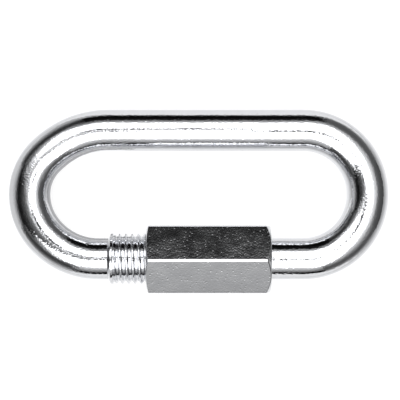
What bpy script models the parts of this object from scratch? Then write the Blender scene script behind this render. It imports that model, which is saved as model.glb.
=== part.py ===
"""A quick link: one steel rod bent into an oval eye and closed by a long hexagonal sleeve nut.

The link lies flat. +X runs along the eye, towards the end that opens. +Y runs across it, from
the bar that carries the nut to the plain bar. +Z is square to the plane that the rod is bent in.
The origin is the middle of the link's bounding box. Lengths are in metres.
"""

import math

import bmesh
import bpy
from mathutils import Matrix, Vector

MM = 0.001

# The rod and the eye that it is bent to
ROD_DIAMETER = 10 * MM
EYE_LENGTH = 71 * MM  # clear length between the crowns of the two bows
EYE_HEIGHT = 20.8 * MM  # clear height between the two bars

# How far each bow reaches from the end of a bar to its crown. The one at the closed end is
# fuller on the side of the nut
CLOSED_BOW_NUT_SIDE = 16.5 * MM
CLOSED_BOW_PLAIN_SIDE = 19 * MM
OPENING_BOW_DEPTH = 15.4 * MM  # half the height of the eye's centreline, which makes a half circle

# The gate: the rod's two ends are upset to thread size and face each other inside the nut
THREAD_DIAMETER = 12 * MM  # over the crests
THREAD_PITCH = 1.5 * MM
NUT_TURNS = 9  # from closed to open, where the nut lies level with the long stub's tip
GATE_OPENING = 9.8 * MM  # between the stubs' tips
STUB_CHAMFER = 1 * MM
SHOULDER_LENGTH = 0.3 * MM  # from rod size up to thread size
LONG_SHOULDER_INSET = 2.64 * MM  # from the bow to the long stub's shoulder
SHORT_SHOULDER_INSET = 0.4 * MM  # from the nut's front end in to the short stub's shoulder

# The sleeve nut, made from a hexagonal bar
NUT_LENGTH = 29.6 * MM
NUT_FLATS = 16 * MM  # across flats
NUT_OFFSET = 2.4 * MM  # the closed nut's middle, from the middle of the link
HEX_EDGE_RADIUS = 0.6 * MM
FRONT_FACE_DIAMETER = 15.8 * MM  # of the flat end faces, inside the turned chamfers
REAR_FACE_DIAMETER = 14.9 * MM
FRONT_CHAMFER_ANGLE = math.radians(45)
REAR_CHAMFER_ANGLE = math.radians(28)
MOUTH_CHAMFER = 0.4 * MM
THREAD_CLEARANCE = 0.3 * MM  # between the stubs and the nut's bore

# How finely the round forms are divided
ROD_SIDES = 40
BOW_STEPS = 36
TURNED_SIDES = 96
EDGE_STEPS = 5

# Worked out from the sizes above
BAR_Y = (EYE_HEIGHT + ROD_DIAMETER) / 2  # each bar's centreline, from the eye's mid-line
EYE_MIDDLE_Y = (NUT_FLATS - ROD_DIAMETER) / 4  # the nut is wider than the plain bar opposite
CROWN_X = (EYE_LENGTH + ROD_DIAMETER) / 2  # of the rod's centreline, each way
NUT_FRONT_X = NUT_OFFSET + NUT_LENGTH / 2
LONG_TIP_X = NUT_FRONT_X - NUT_TURNS * THREAD_PITCH
SHORT_TIP_X = LONG_TIP_X + GATE_OPENING
LONG_SHOULDER_X = LONG_SHOULDER_INSET + CLOSED_BOW_NUT_SIDE - CROWN_X
SHORT_SHOULDER_X = NUT_FRONT_X - SHORT_SHOULDER_INSET


def plated_steel(name, colour, roughness):
    """A metal with the colour and polish of zinc plating."""
    material = bpy.data.materials.new(name)
    material.use_nodes = True
    shader = material.node_tree.nodes["Principled BSDF"]
    shader.inputs["Base Color"].default_value = (*colour, 1)
    shader.inputs["Metallic"].default_value = 1
    shader.inputs["Roughness"].default_value = roughness
    return material


def add_object(name, mesh, material=None, location=(0, 0, 0)):
    """A named object from a bmesh, smooth except along its real edges."""
    data = bpy.data.meshes.new(name)
    mesh.to_mesh(data)
    mesh.free()
    data.shade_smooth()
    data.set_sharp_from_angle(angle=math.radians(25))
    if material:
        data.materials.append(material)
    piece = bpy.data.objects.new(name, data)
    piece.location = location
    bpy.context.collection.objects.link(piece)
    return piece


def bar_section(x, side, radius):
    """Centre, direction and radius of a section of the upper (1) or lower (-1) bar."""
    return Vector((x, EYE_MIDDLE_Y + side * BAR_Y, 0)), Vector((side, 0, 0)), radius


def bow_sections(end, nut_side_depth, plain_side_depth):
    """The sections of the two quarter ellipses at the closed (-1) or opening (1) end of the eye."""
    for step in range(BOW_STEPS + 1):
        turn = math.pi * step / BOW_STEPS
        across, along = math.cos(turn), math.sin(turn)
        depth = plain_side_depth if end * across > 0 else nut_side_depth
        centre = Vector((end * (CROWN_X - depth + depth * along), EYE_MIDDLE_Y + end * BAR_Y * across, 0))
        direction = Vector((end * depth * across, -end * BAR_Y * along, 0)).normalized()
        yield centre, direction, ROD_DIAMETER / 2


def rod_sections():
    """Every section from the long stub's tip, round both bows, to the short stub's tip."""
    rod, stub = ROD_DIAMETER / 2, THREAD_DIAMETER / 2
    yield bar_section(LONG_TIP_X, -1, stub - STUB_CHAMFER)
    yield bar_section(LONG_TIP_X - STUB_CHAMFER, -1, stub)
    yield bar_section(LONG_SHOULDER_X + SHOULDER_LENGTH, -1, stub)
    yield bar_section(LONG_SHOULDER_X, -1, rod)
    yield from bow_sections(-1, CLOSED_BOW_NUT_SIDE, CLOSED_BOW_PLAIN_SIDE)
    yield from bow_sections(1, OPENING_BOW_DEPTH, OPENING_BOW_DEPTH)
    yield bar_section(SHORT_SHOULDER_X, -1, rod)
    yield bar_section(SHORT_SHOULDER_X - SHOULDER_LENGTH, -1, stub)
    yield bar_section(SHORT_TIP_X + STUB_CHAMFER, -1, stub)
    yield bar_section(SHORT_TIP_X, -1, stub - STUB_CHAMFER)


def section_frame(centre, direction):
    """The placement of a circle that faces along direction and keeps one diameter upright."""
    up = Vector((0, 0, 1))
    axes = Matrix((up, direction.cross(up), direction)).transposed()
    return Matrix.Translation(centre) @ axes.to_4x4()


def make_link_body():
    """The rod, as a skin over its sections with a flat face at each tip."""
    mesh = bmesh.new()
    rings = [
        bmesh.ops.create_circle(mesh, segments=ROD_SIDES, radius=radius, matrix=section_frame(centre, direction))
        for centre, direction, radius in rod_sections()
    ]
    rings = [ring["verts"] for ring in rings]
    for ring, following in zip(rings, rings[1:]):
        for side in range(ROD_SIDES):
            after = (side + 1) % ROD_SIDES
            mesh.faces.new((ring[side], ring[after], following[after], following[side]))
    mesh.faces.new(rings[0])
    mesh.faces.new(rings[-1])
    bmesh.ops.recalc_face_normals(mesh, faces=mesh.faces)
    return add_object("link_body", mesh, plated_steel("bright zinc", (0.78, 0.79, 0.80), 0.2))


def hexagonal_bar(length):
    """A bar along X with two flats square to Y and its six long edges rounded."""
    mesh = bmesh.new()
    corners_to_z = Matrix.Rotation(math.pi / 6, 4, "X") @ Matrix.Rotation(math.pi / 2, 4, "Y")
    to_x = Matrix.Translation((-length / 2, 0, 0)) @ corners_to_z
    corner_radius = NUT_FLATS / 2 / math.cos(math.pi / 6)
    hexagon = bmesh.ops.create_circle(mesh, cap_ends=True, segments=6, radius=corner_radius, matrix=to_x)
    end_face = hexagon["verts"][0].link_faces[0]
    extruded = bmesh.ops.extrude_face_region(mesh, geom=[end_face])["geom"]
    moved = [item for item in extruded if isinstance(item, bmesh.types.BMVert)]
    bmesh.ops.translate(mesh, verts=moved, vec=(length, 0, 0))
    long_edges = [edge for edge in mesh.edges if abs(edge.verts[0].co.x - edge.verts[1].co.x) > length / 2]
    bmesh.ops.bevel(
        mesh,
        geom=long_edges,
        offset=HEX_EDGE_RADIUS * math.tan(math.pi / 6),
        segments=EDGE_STEPS,
        profile=0.5,
        affect="EDGES",
    )
    bmesh.ops.recalc_face_normals(mesh, faces=mesh.faces)
    return mesh


def turned_tube():
    """The nut's bore, countersunk mouths and chamfered end faces, turned about X."""
    end = NUT_LENGTH / 2
    bore = THREAD_DIAMETER / 2 + THREAD_CLEARANCE
    front_face, rear_face = FRONT_FACE_DIAMETER / 2, REAR_FACE_DIAMETER / 2
    outside = NUT_FLATS * 0.65  # well past the hexagon's corners
    front_drop = (outside - front_face) * math.tan(FRONT_CHAMFER_ANGLE)
    rear_drop = (outside - rear_face) * math.tan(REAR_CHAMFER_ANGLE)
    outline = [
        (end, bore + MOUTH_CHAMFER),
        (end, front_face),
        (end - front_drop, outside),
        (rear_drop - end, outside),
        (-end, rear_face),
        (-end, bore + MOUTH_CHAMFER),
        (MOUTH_CHAMFER - end, bore),
        (end - MOUTH_CHAMFER, bore),
    ]
    mesh = bmesh.new()
    points = [mesh.verts.new((x, 0, radius)) for x, radius in outline]
    edges = [mesh.edges.new(pair) for pair in zip(points, points[1:] + points[:1])]
    bmesh.ops.spin(
        mesh,
        geom=points + edges,
        axis=(1, 0, 0),
        cent=(0, 0, 0),
        angle=2 * math.pi,
        steps=TURNED_SIDES,
        use_merge=True,
    )
    bmesh.ops.recalc_face_normals(mesh, faces=mesh.faces)
    return mesh


def make_sleeve_nut():
    """The hexagonal bar, drilled and turned at its ends. Its origin lies on the thread's axis."""
    place = (NUT_OFFSET, EYE_MIDDLE_Y - BAR_Y, 0)
    steel = plated_steel("grey zinc", (0.60, 0.60, 0.61), 0.35)
    nut = add_object("sleeve_nut", hexagonal_bar(NUT_LENGTH * 1.2), steel, place)
    tube = add_object("nut_turning_guide", turned_tube(), location=place)
    tube.hide_render = True
    tube.display_type = "WIRE"
    turning = nut.modifiers.new("turned ends and bore", "BOOLEAN")
    turning.operation = "INTERSECT"
    turning.object = tube
    return nut


for leftover in list(bpy.data.objects):
    bpy.data.objects.remove(leftover)
make_link_body()
make_sleeve_nut()
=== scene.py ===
"""The looks of a quick link: a bright rod bent to an oval eye, and the long hexagonal nut that closes it.

The link lies flat. +X runs along the eye, towards the end that opens, +Y from the bar with the nut to
the plain bar, and +Z square to the eye. Lengths are in metres.
"""

import math

import bmesh
import bpy
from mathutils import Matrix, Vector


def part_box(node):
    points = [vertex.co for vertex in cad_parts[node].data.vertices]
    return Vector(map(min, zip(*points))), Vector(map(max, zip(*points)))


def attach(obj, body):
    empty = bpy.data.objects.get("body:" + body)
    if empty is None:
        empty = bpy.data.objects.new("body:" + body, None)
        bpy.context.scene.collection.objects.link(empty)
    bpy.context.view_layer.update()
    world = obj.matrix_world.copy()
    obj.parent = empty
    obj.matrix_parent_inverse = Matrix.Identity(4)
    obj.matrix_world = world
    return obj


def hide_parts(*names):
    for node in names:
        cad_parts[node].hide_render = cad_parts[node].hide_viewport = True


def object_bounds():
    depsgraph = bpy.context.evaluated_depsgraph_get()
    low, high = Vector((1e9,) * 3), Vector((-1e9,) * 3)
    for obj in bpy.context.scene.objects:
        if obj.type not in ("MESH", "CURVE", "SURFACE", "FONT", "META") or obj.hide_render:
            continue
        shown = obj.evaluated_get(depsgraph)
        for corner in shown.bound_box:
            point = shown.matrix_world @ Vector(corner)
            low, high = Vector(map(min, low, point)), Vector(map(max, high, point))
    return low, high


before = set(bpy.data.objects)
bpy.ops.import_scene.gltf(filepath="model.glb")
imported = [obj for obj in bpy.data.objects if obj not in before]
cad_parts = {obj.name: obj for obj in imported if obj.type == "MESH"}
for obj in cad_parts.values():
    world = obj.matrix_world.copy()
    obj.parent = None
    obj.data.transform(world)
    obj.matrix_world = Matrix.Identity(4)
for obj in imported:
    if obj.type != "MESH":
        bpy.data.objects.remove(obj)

MM = 0.001

cad_low, cad_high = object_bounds()
rod_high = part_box("link_body")[1]
nut_low, nut_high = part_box("sleeve_nut")

# The rod, and the bows that it is bent to
ROD_RADIUS = 5 * MM
CROWN = rod_high.x - ROD_RADIUS  # of each bow's centreline, from the middle
CLOSED_NUT_SIDE = 16.5 * MM  # from the end of a bar to the crown of its bow
CLOSED_PLAIN_SIDE = 19 * MM
OPENING_SIDE = 15.4 * MM
NUT_BAR_Y = (nut_low.y + nut_high.y) / 2
PLAIN_BAR_Y = rod_high.y - ROD_RADIUS
ROD_SIDES = 96
EIGHTH_STEPS = 13  # round an eighth turn of a bow

# The rod's two ends, upset to thread size
STUB_RADIUS = 6.1 * MM  # over the thread's crests
SHOULDER = 0.64 * MM  # the length of the slope from thread size down to rod size
COLLAR_END = -20.93 * MM  # where the long stub's plain collar meets its shoulder
THREAD_END = -20.5 * MM  # where that collar meets its thread
LONG_TIP = 3.7 * MM
SHORT_TIP = 13.5 * MM
SHORT_COLLAR = 16.2 * MM  # where the short stub's thread meets its collar
SHORT_SHOULDER = 16.4 * MM  # where that collar meets its shoulder
COLLAR_EASE = 0.03 * MM  # the width by which the edges of the long stub's shoulder are broken
SHORT_EASE = 0.06 * MM  # and that of the short one's
SUPPORT = 0.06 * MM  # a ring this far behind the shoulder keeps its shading off the bar

# The stubs' tips: chamfered, and dished a little
TIP_RADIUS = 5 * MM  # inside the chamfer
TIP_EASE = 0.01 * MM
TIP_INSET = 1.2 * MM
TIP_DISH = (0, 0.06 * MM, 0.03 * MM)  # how much deeper each ring of the end face lies than the last

# The thread: metric fine, right-handed, cut on the stubs and in the nut along one helix
PITCH = 1.5 * MM
CREST_START = 0.62 * MM  # where one crest crosses the side of the stub that faces the eye
STUB_ROOT = 5.45 * MM
STUB_CREST_HALF = 0.13 * MM  # half a crest's width
STUB_FLANK = 0.47 * MM  # a flank's width, along the axis
NUT_ROOT = 6.18 * MM
NUT_CREST = 5.53 * MM
NUT_ROOT_HALF = 0.193 * MM
NUT_FLANK = 0.457 * MM
THREAD_EASE = 0.03 * MM  # rolled threads have no sharp corners
THREAD_STEPS = 96  # round one turn
SPARE_TURNS = 2  # made past each end of a thread, and cut back
RUN_OUT = 1.2 * MM  # in which the thread dies out towards its collar

# The groove that is turned beside the long stub's collar, its profile measured from its start
RELIEF_START = 0.15 * MM  # from the collar
RELIEF_DEPTH = 0.42 * MM
RELIEF_WALL = 0.12 * MM
RELIEF_FLOOR = 0.4 * MM
RELIEF_END = 0.75 * MM

# The nut: hexagonal bar with turned ends
FLAT = (nut_high.y - nut_low.y) / 2
HEX_EDGE = 0.72 * MM  # the radius of its long edges
MILL_EASE = 0.25 * MM  # how softly the flats meet the turned ends
NUT_FRONT = nut_high.x
NUT_REAR = nut_low.x
FRONT_FACE = 7.9 * MM  # the radius of each flat end face
REAR_FACE = 7.8 * MM
BLANK_RADIUS = 9.45 * MM  # the turned blank, before its flats are milled
FRONT_CHAMFER = math.radians(40)
REAR_CHAMFER = math.radians(22)
NUT_EASE = 0.07 * MM  # the width by which the edges of its end faces are broken
SLOPE_STEP = 0.06 * MM  # the longest stretch of a chamfer's outline, and of a side's
SIDE_STEP = 2 * MM
SIXTH_TURN = ((22, 10), (5, 5), (6, 16), (5, 5), (22, 10))  # degrees and steps, finest at the long edge

# The nut's bore
COUNTERSINK = 6.6 * MM
COUNTERBORE = 6.3 * MM
COUNTERBORE_DEPTH = 6.7 * MM  # swallows the long stub's collar when the nut is run back
MOUTH = COUNTERSINK - COUNTERBORE  # how deep the blank carries each countersink, at 45 degrees
MOUTH_RIM = 0.3 * MM  # of end face round each mouth, which the milling doesn't reach
REAR_LIP = 0.5 * MM  # of the counterbore, made with the blank
BORE_FRONT = NUT_FRONT - 0.4 * MM  # between these two the bore is made on its own
BORE_REAR = NUT_REAR + 1.2 * MM
DRILL_LAND = 0.05 * MM  # of the counterbore's full size before the drill's point
DRILL_POINT = 1.7  # the slope that the point leaves

# How near two points are one, a point lies on a plane, and a point is drawn onto an end
MERGE = 0.0005 * MM
ON_PLANE = 0.001 * MM
SNAP = 0.01 * MM

CRISP = math.radians(32)  # edges sharper than this aren't shaded smooth


# ---------------------------------------------------------------- modelling helpers


def add_piece(name):
    """Names the object that was just added and puts its place into its mesh."""
    piece = bpy.context.object
    piece.name = piece.data.name = name
    bpy.ops.object.transform_apply(location=True, rotation=True, scale=True)
    return piece


def add_ring(name, x, y, radius, sides):
    """An open ring square to X, ready to be drawn out into a bar."""
    bpy.ops.object.select_all(action="DESELECT")
    bpy.ops.mesh.primitive_circle_add(
        vertices=sides, radius=radius, location=(x, y, 0), rotation=(0, math.pi / 2, 0)
    )
    return add_piece(name)


def add_outline(name, points):
    """A line through points, given as (x, distance from the nut's axis), on the side facing the eye."""
    bpy.ops.object.select_all(action="DESELECT")
    x, radius = points[0]
    bpy.ops.mesh.primitive_plane_add(size=MM, location=(x, NUT_BAR_Y + radius, 0))
    piece = add_piece(name)
    bpy.ops.object.mode_set(mode="EDIT")
    bpy.ops.mesh.select_mode(type="VERT")
    bpy.ops.mesh.select_all(action="SELECT")
    bpy.ops.mesh.merge(type="CENTER")
    for (x, radius), (next_x, next_radius) in zip(points, points[1:]):
        step = (next_x - x, next_radius - radius, 0)
        bpy.ops.mesh.extrude_region_move(TRANSFORM_OT_translate={"value": step})
    bpy.ops.object.mode_set(mode="OBJECT")
    return piece


def is_close(point):
    """Whether a point lies no further from the nut's axis than the rod and the bore do."""
    return math.hypot(point.y - NUT_BAR_Y, point.z) < COUNTERSINK - SNAP


def select_rings(piece, *places):
    """In edit mode, selects just the edges square to the nut's axis, and close to it, at places along X."""
    bpy.ops.mesh.select_mode(type="EDGE")
    bpy.ops.mesh.select_all(action="DESELECT")
    mesh = bmesh.from_edit_mesh(piece.data)
    for edge in mesh.edges:
        ends = [vertex.co for vertex in edge.verts]
        there = any(all(abs(end.x - x) < ON_PLANE for end in ends) for x in places)
        edge.select_set(there and all(is_close(end) for end in ends))
    mesh.select_flush_mode()
    bmesh.update_edit_mesh(piece.data)


def draw_out(dx, steps=1):
    """Carries the selected ring straight on along X."""
    for _ in range(steps):
        bpy.ops.mesh.extrude_region_move(TRANSFORM_OT_translate={"value": (dx / steps, 0, 0)})


def upset(x, y, ratio):
    """Swells or shrinks the selected ring about its own centre."""
    bpy.ops.transform.resize(value=(ratio, ratio, ratio), center_override=(x, y, 0))


def apply_modifier(piece, modifier):
    """Makes a modifier's shape the piece's own."""
    bpy.context.view_layer.objects.active = piece
    bpy.ops.object.modifier_apply(modifier=modifier.name)


def merge_doubles(piece):
    """Joins the points that lie on each other, then turns every face outwards."""
    bpy.context.view_layer.objects.active = piece
    bpy.ops.object.mode_set(mode="EDIT")
    bpy.ops.mesh.select_all(action="SELECT")
    bpy.ops.mesh.remove_doubles(threshold=MERGE)
    bpy.ops.mesh.normals_make_consistent(inside=False)
    bpy.ops.object.mode_set(mode="OBJECT")


def join(whole, *others):
    """Joins pieces into the first of them."""
    bpy.ops.object.select_all(action="DESELECT")
    for piece in (whole, *others):
        piece.select_set(True)
    bpy.context.view_layer.objects.active = whole
    bpy.ops.object.join()


def finish_mesh(piece):
    """Closes a piece's mesh and shades it smooth, apart from its crisp edges."""
    merge_doubles(piece)
    piece.select_set(True)
    bpy.ops.object.shade_smooth_by_angle(angle=CRISP)


def turn(piece, cut):
    """Turns a piece on the nut's axis: cut gives a point's new x and radius from its x, radius and angle."""
    for vertex in piece.data.vertices:
        across, up = vertex.co.y - NUT_BAR_Y, vertex.co.z
        radius = math.hypot(across, up)
        x, new_radius = cut(vertex.co.x, radius, math.atan2(up, across))
        scale = new_radius / radius
        vertex.co = (x, NUT_BAR_Y + across * scale, up * scale)


def between(x, low, high):
    """Holds x between two ends, and draws what lies almost at an end onto it."""
    if x < low + SNAP:
        return low
    return high if x > high - SNAP else x


def soft_least(a, b, blend):
    """The lesser of two lengths, with the corner between them rounded over."""
    overlap = max(blend - abs(a - b), 0)
    return min(a, b) - overlap * overlap / (4 * blend)


def finer(points, longest):
    """The same outline, with no stretch longer than the one given."""
    result = [points[0]]
    for (x0, r0), (x1, r1) in zip(points, points[1:]):
        count = math.ceil(math.hypot(x1 - x0, r1 - r0) / longest)
        result += [(x0 + (x1 - x0) * i / count, r0 + (r1 - r0) * i / count) for i in range(1, count + 1)]
    return result


# ---------------------------------------------------------------- the thread


def one_pitch(first_x, outer, inner, outer_half, flank):
    """One pitch of a thread's outline, from the middle of an outer flat to the middle of the next."""
    rise = (inner - outer) / flank
    eased = (THREAD_EASE, 3 * THREAD_EASE, flank - 3 * THREAD_EASE, flank - THREAD_EASE)
    half = [(0, outer), (outer_half - THREAD_EASE, outer)]
    half += [(outer_half + along, outer + rise * along) for along in eased]
    half += [(outer_half + flank + THREAD_EASE, inner), (PITCH / 2, inner)]
    pitch = [(first_x + along, radius) for along, radius in half]
    return pitch + [(first_x + PITCH - along, radius) for along, radius in reversed(half[:-1])]


def thread_tube(name, low_x, high_x, outer, inner, outer_half, flank):
    """A tube of thread a little longer than asked, from one pitch of its outline repeated and wound.

    outer and inner are the radii of a stub's crests and roots, or of a nut's roots and crests.
    """
    first_turn = math.floor((low_x - CREST_START) / PITCH) - SPARE_TURNS
    first_x = CREST_START + first_turn * PITCH
    piece = add_outline(name, one_pitch(first_x, outer, inner, outer_half, flank))
    repeat = piece.modifiers.new("turns", "ARRAY")
    repeat.count = math.ceil((high_x - low_x) / PITCH) + 2 * SPARE_TURNS
    repeat.use_relative_offset = False
    repeat.use_constant_offset = True
    repeat.constant_offset_displace = (PITCH, 0, 0)
    repeat.use_merge_vertices = True
    repeat.merge_threshold = ON_PLANE
    apply_modifier(piece, repeat)
    centre = bpy.data.objects.new("nut axis", None)
    centre.location = (0, NUT_BAR_Y, 0)
    bpy.context.collection.objects.link(centre)
    wind = piece.modifiers.new("helix", "SCREW")
    wind.axis = "X"
    wind.object = centre
    wind.angle = 2 * math.pi
    wind.screw_offset = PITCH
    wind.steps = wind.render_steps = THREAD_STEPS
    apply_modifier(piece, wind)
    bpy.data.objects.remove(centre)
    return piece


def relief(along, depth):
    """How deep the turned groove beside a collar is, at a distance along from its start."""
    if along < RELIEF_FLOOR:
        return depth * min(along / RELIEF_WALL, 1)
    return depth * max(1 - (along - RELIEF_FLOOR) / (RELIEF_END - RELIEF_FLOOR), 0)


def stub_thread(name, collar_x, tip_x, relief_depth):
    """The thread of one stub: it dies out towards its collar and is chamfered at its tip."""
    low, high = min(collar_x, tip_x), max(collar_x, tip_x)
    tube = thread_tube(name, low, high, STUB_RADIUS, STUB_ROOT, STUB_CREST_HALF, STUB_FLANK)
    run_out = min(RUN_OUT, abs(tip_x - collar_x) / 3)  # the short stub has less room for it

    def cut(x, radius, _angle):
        x = between(x, low, high)
        full = min(abs(x - collar_x) / run_out, 1)
        depth = (STUB_RADIUS - radius) * full * full * (3 - 2 * full)  # eases in and out
        radius = STUB_RADIUS - depth
        radius = min(radius, STUB_RADIUS - relief(abs(x - collar_x) - RELIEF_START, relief_depth))
        return x, soft_least(radius, TIP_RADIUS + abs(tip_x - x), TIP_EASE)

    turn(tube, cut)
    merge_doubles(tube)
    return tube


# ---------------------------------------------------------------- the rod


def eighth_centres(end, side, depth):
    """Centres of a bow's two eighth turns on one side of the eye: the wide one, then the tight.

    The two meet smoothly, and together they are as deep as the bow and half as high.
    """
    half_height = (PLAIN_BAR_Y - NUT_BAR_Y) / 2
    middle_y = (PLAIN_BAR_Y + NUT_BAR_Y) / 2
    lean = math.sqrt(0.5)
    wide = (depth * lean - half_height * (1 - lean)) / (2 * lean - 1)
    tight = (half_height * lean - depth * (1 - lean)) / (2 * lean - 1)
    return (end * (CROWN - depth), middle_y + side * (half_height - wide)), (end * (CROWN - tight), middle_y)


def bow(end, nut_side, plain_side):
    """Carries the selected ring round the bow at the closed (-1) or opening (1) end, clockwise from above."""
    nut_wide, nut_tight = eighth_centres(end, -1, nut_side)
    plain_wide, plain_tight = eighth_centres(end, 1, plain_side)
    centres = [nut_wide, nut_tight, plain_tight, plain_wide]
    for x, y in centres if end < 0 else centres[::-1]:
        bpy.ops.mesh.spin(steps=EIGHTH_STEPS, angle=math.pi / 4, center=(x, y, 0), axis=(0, 0, 1))


def bend_rod():
    """The rod without its threads: a tube from the long stub's collar, round the eye, to the short one's."""
    rod = add_ring("bent_rod", THREAD_END, NUT_BAR_Y, STUB_RADIUS, ROD_SIDES)
    bpy.ops.object.mode_set(mode="EDIT")
    draw_out(COLLAR_END - THREAD_END)
    draw_out(-SHOULDER)
    upset(COLLAR_END - SHOULDER, NUT_BAR_Y, ROD_RADIUS / STUB_RADIUS)
    draw_out(-SUPPORT)
    draw_out(CLOSED_NUT_SIDE - CROWN - (COLLAR_END - SHOULDER) + SUPPORT)
    bow(-1, CLOSED_NUT_SIDE, CLOSED_PLAIN_SIDE)
    draw_out(2 * CROWN - CLOSED_PLAIN_SIDE - OPENING_SIDE, steps=6)
    bow(1, OPENING_SIDE, OPENING_SIDE)
    draw_out(SHORT_SHOULDER + SHOULDER - (CROWN - OPENING_SIDE), steps=2)
    draw_out(-SHOULDER)
    upset(SHORT_SHOULDER, NUT_BAR_Y, STUB_RADIUS / ROD_RADIUS)
    draw_out(SHORT_COLLAR - SHORT_SHOULDER)
    edges = ((COLLAR_END, COLLAR_EASE), (COLLAR_END - SHOULDER, COLLAR_EASE), (SHORT_SHOULDER, SHORT_EASE))
    for x, width in edges:
        select_rings(rod, x)
        bpy.ops.mesh.bevel(offset=width, segments=3)
    bpy.ops.object.mode_set(mode="OBJECT")
    return rod


def close_tips(rod):
    """Faces the two tips, each a little dished."""
    bpy.ops.object.mode_set(mode="EDIT")
    for tip_x, inward in ((LONG_TIP, -1), (SHORT_TIP, 1)):
        select_rings(rod, tip_x)
        bpy.ops.mesh.edge_face_add()
        for deeper in TIP_DISH:
            bpy.ops.mesh.inset(thickness=TIP_INSET)
            bpy.ops.transform.translate(value=(inward * deeper, 0, 0))
    bpy.ops.object.mode_set(mode="OBJECT")


def make_rod():
    """Drawn rod, bent round the eye, with its two ends upset and threaded."""
    rod = bend_rod()
    long_stub = stub_thread("long stub", THREAD_END, LONG_TIP, RELIEF_DEPTH)
    short_stub = stub_thread("short stub", SHORT_COLLAR, SHORT_TIP, 0)
    join(rod, long_stub, short_stub)
    merge_doubles(rod)
    close_tips(rod)
    finish_mesh(rod)
    return rod


# ---------------------------------------------------------------- the nut


def milled_radius(angle):
    """How far out the milled hexagon reaches, with a rounded edge at each corner."""
    sixth = math.pi / 3
    from_flat = abs((angle + sixth / 2) % sixth - sixth / 2)
    inner = FLAT - HEX_EDGE
    if math.tan(from_flat) * FLAT <= inner * math.tan(sixth / 2):
        return FLAT / math.cos(from_flat)
    corner = inner / math.cos(sixth / 2)
    aside = sixth / 2 - from_flat
    return corner * math.cos(aside) + math.sqrt(HEX_EDGE**2 - (corner * math.sin(aside)) ** 2)


def mill_flats(x, radius, angle):
    """Mills the hexagon's flats, which leaves a scalloped edge round each turned end."""
    if radius < COUNTERSINK + MOUTH_RIM:
        return x, radius
    return x, soft_least(radius, milled_radius(angle), MILL_EASE)


def turned_end(x, inward, face, chamfer):
    """One end of the nut's blank, from inside its mouth out to the blank's full size."""
    drop = (BLANK_RADIUS - face) * math.tan(chamfer)
    # The fractions put a point on each broken edge, so that it is rounded and not flat
    outline = [(x + inward * (MOUTH + REAR_LIP), COUNTERBORE)] if inward > 0 else []
    outline += [(x + inward * MOUTH, COUNTERBORE), (x + inward * NUT_EASE, COUNTERSINK - NUT_EASE)]
    outline += [(x + inward * 0.3 * NUT_EASE, COUNTERSINK - 0.1 * NUT_EASE), (x, COUNTERSINK + NUT_EASE)]
    outline += [(x, face - NUT_EASE), (x + inward * 0.25 * NUT_EASE, face)]
    slope = [(x + inward * NUT_EASE, face + NUT_EASE), (x + inward * drop, BLANK_RADIUS)]
    return outline + finer(slope, SLOPE_STEP)


def make_blank(front, rear):
    """Hexagonal bar with turned ends, from their outlines. It is still open where the bore will be."""
    side = finer([front[-1], rear[-1]], SIDE_STEP)
    blank = add_outline("hex_nut", front + side[1:-1] + rear[::-1])
    bpy.ops.object.mode_set(mode="EDIT")
    bpy.ops.mesh.select_all(action="SELECT")
    for degrees, steps in SIXTH_TURN * 6:
        bpy.ops.mesh.spin(
            steps=steps, angle=math.radians(degrees), center=(0, NUT_BAR_Y, 0), axis=(1, 0, 0)
        )
    bpy.ops.object.mode_set(mode="OBJECT")
    merge_doubles(blank)
    turn(blank, mill_flats)
    return blank


def make_bore():
    """The tapped bore, with the plain counterbore behind it."""
    seat = NUT_REAR + COUNTERBORE_DEPTH
    bore = thread_tube("tapped bore", seat, NUT_FRONT, NUT_ROOT, NUT_CREST, NUT_ROOT_HALF, NUT_FLANK)

    def cut(x, radius, _angle):
        x = between(x, seat, BORE_FRONT)
        countersunk = COUNTERSINK - (NUT_FRONT - x)
        counterbored = COUNTERBORE - max(x - seat - DRILL_LAND, 0) * DRILL_POINT
        return x, max(radius, countersunk, counterbored)

    turn(bore, cut)
    merge_doubles(bore)
    bpy.ops.object.mode_set(mode="EDIT")
    select_rings(bore, seat)
    draw_out(BORE_REAR - seat, steps=3)
    bpy.ops.object.mode_set(mode="OBJECT")
    return bore


def make_nut():
    """Hexagonal bar, faced, chamfered, drilled and tapped."""
    front = turned_end(NUT_FRONT, -1, FRONT_FACE, FRONT_CHAMFER)
    rear = turned_end(NUT_REAR, 1, REAR_FACE, REAR_CHAMFER)
    nut = make_blank(front, rear)
    join(nut, make_bore())
    bpy.ops.object.mode_set(mode="EDIT")
    for bore_x, mouth_x in ((BORE_FRONT, front[0][0]), (BORE_REAR, rear[0][0])):
        select_rings(nut, bore_x, mouth_x)
        bpy.ops.mesh.bridge_edge_loops()
    bpy.ops.object.mode_set(mode="OBJECT")
    finish_mesh(nut)
    return nut


# ---------------------------------------------------------------- finishes


def linear(colour):
    """An sRGB hex colour as Blender's linear colour."""
    parts = [int(colour[i : i + 2], 16) / 255 for i in (1, 3, 5)]
    return (*[p / 12.92 if p <= 0.04045 else ((p + 0.055) / 1.055) ** 2.4 for p in parts], 1)


def set_stops(ramp, stops):
    """Gives a colour ramp its stops of (place, grey)."""
    while len(ramp.elements) < len(stops):
        ramp.elements.new(0.5)
    for element, (place, grey) in zip(ramp.elements, stops):
        element.position = place
        element.color = (grey, grey, grey, 1)


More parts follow.
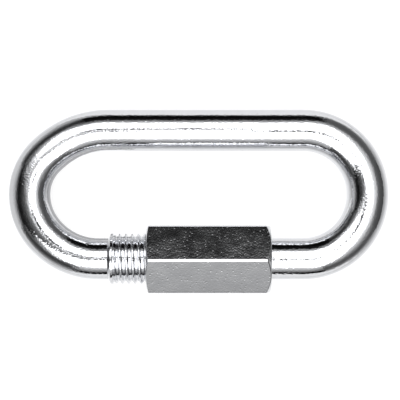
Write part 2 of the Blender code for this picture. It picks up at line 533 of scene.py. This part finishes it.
def add_node(tree, kind, settings=None, stops=(), **inputs):
    """Adds a node. Settings are its own properties, stops are its ramp's, and inputs are its sockets'.

    An input is a value or the socket that it comes from. _0 and _1 are sockets by number.
    """
    node = tree.nodes.new(kind)
    for name, value in (settings or {}).items():
        setattr(node, name, value)
    if stops:
        set_stops(node.color_ramp, stops)
    for name, value in inputs.items():
        socket = node.inputs[int(name[1:])] if name[1:].isdigit() else node.inputs[name.replace("_", " ")]
        if isinstance(value, bpy.types.NodeSocket):
            tree.links.new(value, socket)
        else:
            socket.default_value = value
    return node


def new_material(name):
    """An empty material, its tree and its output node."""
    material = bpy.data.materials.new(name)
    material.use_nodes = True
    tree = material.node_tree
    tree.nodes.clear()
    return material, tree, tree.nodes.new("ShaderNodeOutputMaterial")


def zinc_plate(name, *, pale, dark, roughness, grain, grain_depth, calm, wave_depth, spot, spot_depth):
    """Zinc electroplate on steel: a mirror broken by orange peel, small pits and slow waves.

    grain and spot are how far apart the peel's bumps and the pits lie, and calm is the share of the
    peel's depth that the calmest patches keep.
    """
    material, tree, output = new_material(name)
    place = add_node(tree, "ShaderNodeTexCoord").outputs["Object"]
    # The plate's crystals, a few hundredths of a millimetre, are drawn about ten times coarser to show
    peel = add_node(tree, "ShaderNodeTexNoise", Vector=place, Scale=1 / grain, Detail=0.0)
    # Drawing and bending leave waves about 5 mm long
    wave = add_node(tree, "ShaderNodeTexNoise", Vector=place, Scale=1 / (5 * MM), Detail=1.0)
    # Acid pickling leaves pits a little under half a millimetre wide, one or two millimetres apart
    spots = add_node(tree, "ShaderNodeTexVoronoi", Vector=place, Scale=1 / spot, Randomness=1.0)
    pit_stops = [(0.04 * MM / spot, 0), (0.22 * MM / spot, 1)]
    pit = add_node(tree, "ShaderNodeValToRGB", stops=pit_stops, Fac=spots.outputs["Distance"])
    # The plate lies rougher in patches of about 3 mm, with calmer metal between
    patch = add_node(tree, "ShaderNodeTexNoise", Vector=place, Scale=1 / (3 * MM), Detail=2.0)
    rough = add_node(
        tree,
        "ShaderNodeMapRange",
        Value=patch.outputs["Fac"],
        From_Min=0.35,
        From_Max=0.65,
        To_Min=calm,
        To_Max=1.0,
    )
    tone = add_node(
        tree,
        "ShaderNodeMix",
        {"data_type": "RGBA"},
        Factor=patch.outputs["Fac"],
        A=linear(dark),
        B=linear(pale),
    )
    haze = add_node(
        tree,
        "ShaderNodeMapRange",
        Value=patch.outputs["Fac"],
        From_Min=0.3,
        From_Max=0.7,
        To_Min=roughness * 0.8,
        To_Max=roughness * 1.25,
    )
    waves = add_node(tree, "ShaderNodeBump", Strength=1.0, Distance=wave_depth, Height=wave.outputs["Fac"])
    pits = add_node(
        tree,
        "ShaderNodeBump",
        Strength=1.0,
        Distance=spot_depth,
        Height=pit.outputs["Color"],
        Normal=waves.outputs["Normal"],
    )
    grains = add_node(
        tree,
        "ShaderNodeBump",
        Strength=rough.outputs["Result"],
        Distance=grain_depth,
        Height=peel.outputs["Fac"],
        Normal=pits.outputs["Normal"],
    )
    shader = add_node(
        tree,
        "ShaderNodeBsdfPrincipled",
        Base_Color=tone.outputs["Result"],
        Metallic=1.0,
        Roughness=haze.outputs["Result"],
        Normal=grains.outputs["Normal"],
    )
    tree.links.new(shader.outputs["BSDF"], output.inputs["Surface"])
    return material


# ---------------------------------------------------------------- the studio

FLOOR_SIZE = 3
PAPER_GLOW = 0.75  # to the camera and through glass
CARD_DISTANCE = 0.42  # from the middle of the link to each standing card
CARD_TOP = 0.34
CAMERA_PLACE = (0.36 * MM, 0.16 * MM, 0.3)
CAMERA_LENS = 112.6
SOFTBOX_PLACE = (-0.065, 0, 0.301)

# The heights of the level cards: two layers under the softbox, and one just over the floor
TRIM = 0.2985
LINES = 0.298
STRIP = cad_low.z + 0.5 * MM


def make_floor():
    """White paper under the link, which keeps the link's shadow.

    It is a mid grey that also glows, so that it looks white and yet throws little light back up. In
    metal it is a sheen that fades the more aslant the paper is seen.
    """
    bpy.ops.object.select_all(action="DESELECT")
    bpy.ops.mesh.primitive_plane_add(size=FLOOR_SIZE, location=(0, 0, cad_low.z))
    floor = bpy.context.object
    floor.name = "floor"
    material, tree, output = new_material("white paper")
    path = add_node(tree, "ShaderNodeLightPath")
    slant = add_node(tree, "ShaderNodeLayerWeight", Blend=0.5)
    fading = [(0.0, 0.8), (0.4, 0.5), (0.75, 0.12), (1.0, 0.0)]
    sheen = add_node(tree, "ShaderNodeValToRGB", stops=fading, Fac=slant.outputs["Facing"])
    in_metal = add_node(
        tree,
        "ShaderNodeMath",
        {"operation": "MULTIPLY"},
        _0=path.outputs["Is Glossy Ray"],
        _1=sheen.outputs["Color"],
    )
    direct = add_node(
        tree,
        "ShaderNodeMath",
        {"operation": "MAXIMUM"},
        _0=path.outputs["Is Camera Ray"],
        _1=path.outputs["Is Transmission Ray"],
    )
    seen = add_node(
        tree, "ShaderNodeMath", {"operation": "MULTIPLY"}, _0=direct.outputs["Value"], _1=PAPER_GLOW
    )
    glow = add_node(
        tree, "ShaderNodeMath", {"operation": "ADD"}, _0=seen.outputs["Value"], _1=in_metal.outputs["Value"]
    )
    paper = add_node(
        tree,
        "ShaderNodeBsdfPrincipled",
        Base_Color=linear("#A8A8A8"),
        Roughness=0.9,
        Specular_IOR_Level=0.0,
        Emission_Color=linear("#FFFFFF"),
        Emission_Strength=glow.outputs["Value"],
    )
    tree.links.new(paper.outputs["BSDF"], output.inputs["Surface"])
    material.cycles.emission_sampling = "NONE"
    floor.data.materials.append(material)


def make_world(ambient):
    """A white room: full white to the camera, in metal and through glass, and softer where it lights."""
    world = bpy.data.worlds.new("white room")
    world.use_nodes = True
    tree = world.node_tree
    tree.nodes.clear()
    path = add_node(tree, "ShaderNodeLightPath")
    direct = add_node(
        tree,
        "ShaderNodeMath",
        {"operation": "MAXIMUM"},
        _0=path.outputs["Is Camera Ray"],
        _1=path.outputs["Is Glossy Ray"],
    )
    seen = add_node(
        tree,
        "ShaderNodeMath",
        {"operation": "MAXIMUM"},
        _0=direct.outputs["Value"],
        _1=path.outputs["Is Transmission Ray"],
    )
    level = add_node(tree, "ShaderNodeMapRange", Value=seen.outputs["Value"], To_Min=ambient, To_Max=1.0)
    room = add_node(tree, "ShaderNodeBackground", Color=linear("#FFFFFF"), Strength=level.outputs["Result"])
    output = tree.nodes.new("ShaderNodeOutputWorld")
    tree.links.new(room.outputs["Background"], output.inputs["Surface"])
    bpy.context.scene.world = world


def only_in_metal(card, add_grey):
    """Finishes a card that nothing but the metal sees. add_grey gives the socket that its grey comes from."""
    material, tree, output = new_material(card.name)
    grey = add_node(tree, "ShaderNodeEmission", Color=add_grey(tree), Strength=1.0)
    tree.links.new(grey.outputs["Emission"], output.inputs["Surface"])
    material.cycles.emission_sampling = "NONE"
    card.data.materials.append(material)
    card.visible_camera = False
    card.visible_diffuse = False
    card.visible_transmission = False
    card.visible_shadow = False


def stand_card(name, bearing, stops):
    """Stands a card on the floor, facing the link, as one of eight that touch.

    Bearings run from +X towards +Y, in degrees, and stops of (height, grey) from its foot to its top.
    """
    angle = math.radians(bearing)
    width, height = 2 * CARD_DISTANCE * math.tan(math.pi / 8), CARD_TOP - cad_low.z
    place = (CARD_DISTANCE * math.cos(angle), CARD_DISTANCE * math.sin(angle), cad_low.z + height / 2)
    bpy.ops.object.select_all(action="DESELECT")
    bpy.ops.mesh.primitive_plane_add(size=1, location=place, rotation=(math.pi / 2, 0, angle - math.pi / 2))
    card = bpy.context.object
    card.name = name
    card.scale = (width, height, 1)

    def grey_upwards(tree):
        on_card = add_node(tree, "ShaderNodeTexCoord").outputs["Generated"]
        up = add_node(tree, "ShaderNodeSeparateXYZ", Vector=on_card).outputs["Y"]
        return add_node(tree, "ShaderNodeValToRGB", stops=stops, Fac=up).outputs["Color"]

    only_in_metal(card, grey_upwards)


def grey_of_corners(tree):
    """The grey that a level card has at its corners, blended between them."""
    return add_node(tree, "ShaderNodeAttribute", {"attribute_name": "grey"}).outputs["Color"]


def lay_cards(z, cards):
    """Lays level cards, each under its name with four corners of (x, y) in millimetres and a grey."""
    for name, corners in cards.items():
        bpy.ops.object.select_all(action="DESELECT")
        bpy.ops.mesh.primitive_plane_add(size=1)
        card = bpy.context.object
        card.name = name
        ring = [card.data.vertices[i] for i in card.data.polygons[0].vertices]
        greys = card.data.color_attributes.new("grey", "FLOAT_COLOR", "POINT")
        for vertex, (x, y, grey) in zip(ring, corners):
            vertex.co = (x * MM, y * MM, z)
            greys.data[vertex.index].color = (grey, grey, grey, 1)
        only_in_metal(card, grey_of_corners)


def add_softbox(name, place, width, height, watts):
    """A large soft light facing down."""
    light = bpy.data.lights.new(name, "AREA")
    light.shape = "RECTANGLE"
    light.size, light.size_y = width, height
    light.energy = watts
    lamp = bpy.data.objects.new(name, light)
    lamp.location = place
    lamp.visible_camera = False
    bpy.context.collection.objects.link(lamp)


def make_camera():
    """Looks straight down on the link."""
    camera = bpy.data.cameras.new("camera")
    camera.sensor_width = 36
    camera.lens = CAMERA_LENS
    viewer = bpy.data.objects.new("camera", camera)
    viewer.location = CAMERA_PLACE
    bpy.context.collection.objects.link(viewer)
    bpy.context.scene.camera = viewer


# ---------------------------------------------------------------- the link

# Drawn rod takes the plate bright: nearly a mirror, with a fine ripple and few pits
bright_zinc = zinc_plate(
    "bright zinc plate on drawn rod",
    pale="#E4E5E8",
    dark="#DADBDE",
    roughness=0.07,
    grain=0.36 * MM,
    grain_depth=0.026 * MM,
    calm=0.45,
    wave_depth=0.05 * MM,
    spot=1.7 * MM,
    spot_depth=0.018 * MM,
)

# Hexagonal bar takes it greyer and more satin, with its pits closer together
grey_zinc = zinc_plate(
    "grey zinc plate on hexagon bar",
    pale="#E4E5E7",
    dark="#D2D3D6",
    roughness=0.12,
    grain=0.45 * MM,
    grain_depth=0.016 * MM,
    calm=0.5,
    wave_depth=0.03 * MM,
    spot=0.9 * MM,
    spot_depth=0.02 * MM,
)

rod = make_rod()
rod.data.materials.append(bright_zinc)
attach(rod, "link")
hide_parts("link_body")

nut = make_nut()
nut.data.materials.append(grey_zinc)
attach(nut, "nut")
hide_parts("sleeve_nut")

# ---------------------------------------------------------------- the set

make_floor()
make_world(ambient=0.3)
make_camera()
add_softbox("softbox", SOFTBOX_PLACE, width=0.59, height=0.714, watts=1.92)

# Dark and grey cards stand in a ring round the link, from the far side round by the left
card_greys = {
    "far card": [
        (0, 1.2), (0.05, 0.6), (0.09, 0.18), (0.2, 0.03), (0.26, 0), (0.55, 0.005), (0.9, 0.015), (1, 0.2)
    ],
    "far left card": [(0, 0.46), (0.2, 0.17), (0.42, 0.033), (0.6, 0.04), (0.75, 0.1), (1, 0.25)],
    "left card": [(0, 0.65), (0.17, 0.5), (0.33, 0.28), (0.48, 0.1), (0.6, 0.035), (0.72, 0.01), (1, 0.01)],
    "near left card": [(0, 0.38), (0.15, 0.17), (0.38, 0.05), (0.55, 0.06), (0.78, 0.14), (1, 0.4)],
    "near card": [(0, 0.1), (0.03, 0), (0.2, 0), (0.27, 0.12), (0.42, 0.3), (0.72, 0.6), (1, 0.95)],
    "near right card": [(0, 0.33), (0.12, 0.17), (0.3, 0.09), (0.52, 0.12), (0.75, 0.29), (1, 0.5)],
    "right card": [(0, 0.02), (0.07, 0.08), (0.3, 0.09), (0.48, 0.1), (0.7, 0.14), (1, 0.22)],
    "far right card": [(0, 0.18), (0.2, 0.125), (0.4, 0.1), (0.55, 0.11), (0.7, 0.14), (1, 0.28)],
}
for place, (name, stops) in enumerate(card_greys.items()):
    bearing = (90 + 45 * place) % 360
    stand_card(name, bearing, stops)

# Grey cards under the softbox trim it to its lit shape
lay_cards(
    TRIM,
    {
        "right spill, far side": ((180, 20, 1.3), (280, 20, 0.82), (280, 420, 0.15), (180, 420, 0.3)),
        "right spill, near side": ((180, -420, 0.55), (280, -420, 0.36), (280, 20, 0.82), (180, 20, 1.3)),
        "right end, far side": ((280, 20, 0.82), (420, 20, 0.22), (420, 420, 0.08), (280, 420, 0.15)),
        "right end, near side": ((280, -420, 0.36), (420, -420, 0.2), (420, 20, 0.22), (280, 20, 0.82)),
        "far spill": ((-190, 240, 1), (180, 240, 1.2), (180, 310, 0.5), (-190, 310, 0.25)),
        "far end": ((-190, 310, 0.25), (180, 310, 0.5), (180, 420, 0.3), (-190, 420, 0.1)),
        "far left spill": ((-190, 260, 0.9), (-195, 105, 0.9), (-290, 90, 0.05), (-290, 260, 0.3)),
        "far left end": ((-290, 260, 0.3), (-290, 60, 0.02), (-420, 60, 0), (-420, 260, 0.02)),
        "far left corner": ((-190, 420, 0.2), (-190, 260, 0.9), (-420, 260, 0.02), (-420, 420, 0.08)),
        "near left spill": ((-200, -118, 0.7), (-300, -170, 0.03), (-300, -290, 0.4), (-200, -290, 1.2)),
        "near left end": ((-300, -170, 0.03), (-420, -200, 0), (-420, -290, 0.04), (-300, -290, 0.4)),
        "near left corner": ((-200, -290, 1.1), (-420, -290, 0.04), (-420, -420, 0.2), (-200, -420, 0.45)),
    },
)

# Two thin dark lines run across under the softbox
lay_cards(
    LINES,
    {
        "far line": ((-56, 18, 0), (-34, 18, 0), (-34, 45, 0), (-56, 45, 0)),
        "far line, left end": ((-70, 20, 1.3), (-56, 18, 0), (-56, 45, 0), (-70, 40, 1.3)),
        "far line, middle": ((-34, 18, 0), (-24, 12, 0), (-24, 52, 0), (-34, 45, 0)),
        "far line, right": ((-24, 12, 0), (10, 12, 0.1), (10, 52, 0.1), (-24, 52, 0)),
        "far line, fading right": ((10, 12, 0.1), (30, 18, 0.9), (30, 45, 0.9), (10, 52, 0.1)),
        "near line, right": ((28, -8, 0), (57, -8, 0), (57, -55, 0), (28, -55, 0)),
    },
)

# The nearer line opens out to the left into a dark wedge, with a soft rim along its far side
neck_far, neck_near = (-42, -15, 0.2), (-45, -38, 0.2)
throat_far, throat_near = (-85, -20, 0.2), (-125, -105, 0.04)
belly_far, belly_near = (-205, 35, 0.06), (-200, -118, 0.02)
tail_far, tail_near = (-290, 60, 0.02), (-300, -170, 0.005)
rim_start, rim_middle, rim_end = (-26, 14, 1.3), (-105, 20, 0.55), (-195, 105, 0.9)
lay_cards(
    TRIM,
    {
        "near line, left": (neck_far, (-24, -17, 0.2), (-24, -39, 0.2), neck_near),
        "near line, opening": (neck_far, neck_near, throat_near, throat_far),
        "wedge": (throat_far, throat_near, belly_near, belly_far),
        "wide wedge": (belly_far, belly_near, tail_near, tail_far),
        "end of the wedge": (tail_far, tail_near, (-420, -200, 0), (-420, 60, 0)),
        "soft tip of the wedge": (rim_start, (-42, -15, 0.8), throat_far, rim_middle),
        "soft edge of the wedge": (rim_middle, throat_far, belly_far, rim_end),
        "rim of the tip": (rim_start, (-40, 40, 1.3), (-112, 48, 1.3), rim_middle),
        "rim of the wedge": (rim_middle, (-112, 48, 1.3), (-190, 130, 1.3), rim_end),
        "soft end of the wedge": (rim_end, belly_far, tail_far, (-290, 90, 0.05)),
    },
)

# Glowing strips that nothing but the metal sees lie just over the floor and paint the floor's reflection:
# white beside the link and in its eye, and greyer towards its closed end
lay_cards(
    STRIP,
    {
        "far strip": ((-50, 38, 1), (80, 38, 1), (80, 418, 1.2), (-50, 418, 1.2)),
        "near strip": ((-50, -300, 1), (80, -300, 1), (80, -40, 1), (-50, -40, 1)),
        "left strip": ((-300, -150, 0.65), (-54, -60, 0.8), (-54, 60, 0.8), (-300, 150, 0.65)),
        "eye strip": ((-18, 5, 1), (30, 5, 1), (30, 12, 1), (-18, 12, 1)),
        "grey eye strip": ((-34, -5, 0.65), (-16, -3, 0.35), (-16, 2, 0.35), (-34, 8, 0.65)),
    },
)

bpy.context.scene.view_settings.view_transform = "Standard"
